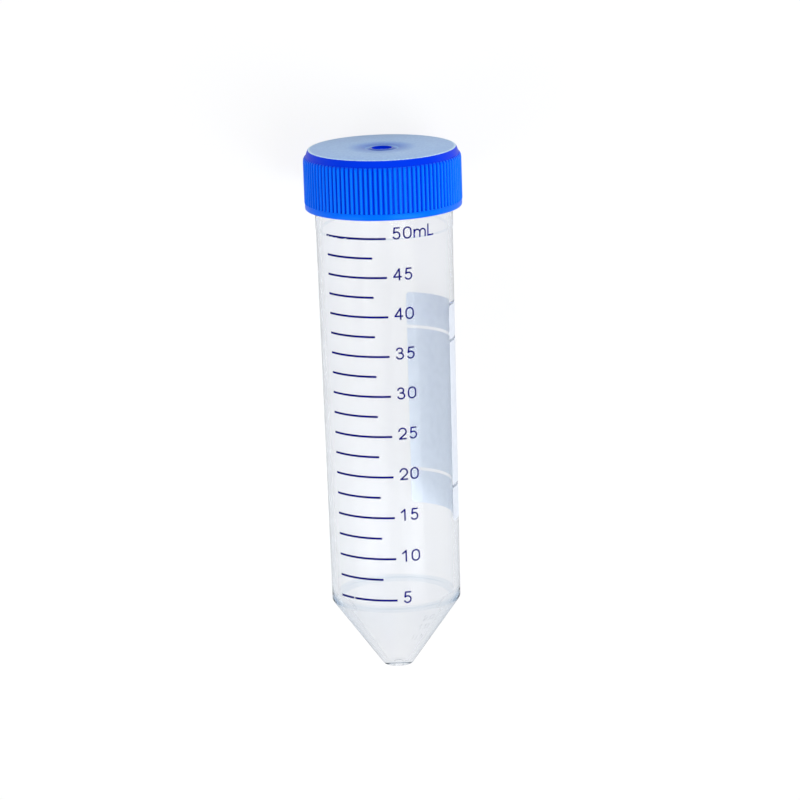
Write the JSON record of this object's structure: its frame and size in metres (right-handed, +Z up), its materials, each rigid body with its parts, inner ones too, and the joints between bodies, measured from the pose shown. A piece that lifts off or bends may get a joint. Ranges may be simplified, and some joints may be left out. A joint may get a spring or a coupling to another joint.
{
  "type": "conical centrifuge tube",
  "caption": "Clear plastic screw-cap tube with a conical bottom, a printed volume scale, a white writing panel and a ribbed blue cap.",
  "frame": {"origin": "middle of the closed tube's box, on the surface that it lies on", "axes": "+Y from the tip towards the cap, +Z up, with the printed scale on the upper side; the tube's own axis lies in the YZ plane and rises 1.94 degrees towards the cap"},
  "size_m": [0.034, 0.116, 0.0343],
  "materials": {
    "clear_plastic": "clear, glossy moulded polypropylene with a faint haze",
    "blue_plastic": "satin moulded polyethylene with a finely grained top",
    "navy_ink": "printed ink",
    "white_ink": "matte printed ink that takes a pen"
  },
  "bodies": {
    "tube_body": {"tube": "clear_plastic", "graduation_marks": "navy_ink", "writing_panel": "white_ink"},
    "cap_body": {"cap": "blue_plastic"}
  },
  "joints": [
    {"name": "cap_lift", "type": "slide", "parent": "tube_body", "child": "cap_body", "axis": [0, 0.9994, 0.0338], "range_m": [0, 0.025]}
  ]
}
